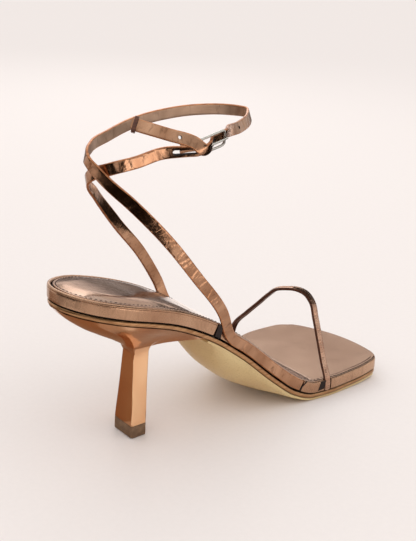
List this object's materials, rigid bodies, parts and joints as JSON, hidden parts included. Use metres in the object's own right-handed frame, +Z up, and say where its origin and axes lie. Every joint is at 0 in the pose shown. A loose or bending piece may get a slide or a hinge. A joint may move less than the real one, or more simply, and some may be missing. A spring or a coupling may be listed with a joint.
{
  "type": "strappy heeled sandal",
  "caption": "Right heeled sandal with a square open toe, a narrow toe strap, crossed ankle straps with a wire buckle, and a slim block heel.",
  "frame": {"origin": "on the floor, under the middle of the whole shoe's bounding box", "axes": "+Y from the heel to the toe, +X to the outer (lateral) side, +Z up"},
  "size_m": [0.0802, 0.2234, 0.1828],
  "materials": {
    "copper_mirror_leather": "metallic mirror leather, copper, lightly creased",
    "copper_sock_leather": "glossy metallic leather, rose brown",
    "copper_edge": "smooth metallic edge",
    "tan_outsole": "smooth tan sole leather",
    "copper_heel": "moulded heel with a copper metallic cover",
    "brown_rubber": "matt dark brown rubber",
    "silver_buckle": "polished silver wire"
  },
  "bodies": {
    "root": {"footbed": "copper_mirror_leather", "sock": "copper_sock_leather", "sole_edge": "copper_edge", "outsole": "tan_outsole", "heel": "copper_heel", "heel_top_piece": "brown_rubber", "ankle_straps": "copper_mirror_leather", "toe_strap": "copper_mirror_leather", "buckle_frame": "silver_buckle", "buckle_tongue": "silver_buckle", "keeper_loop": "copper_mirror_leather"}
  },
  "joints": []
}
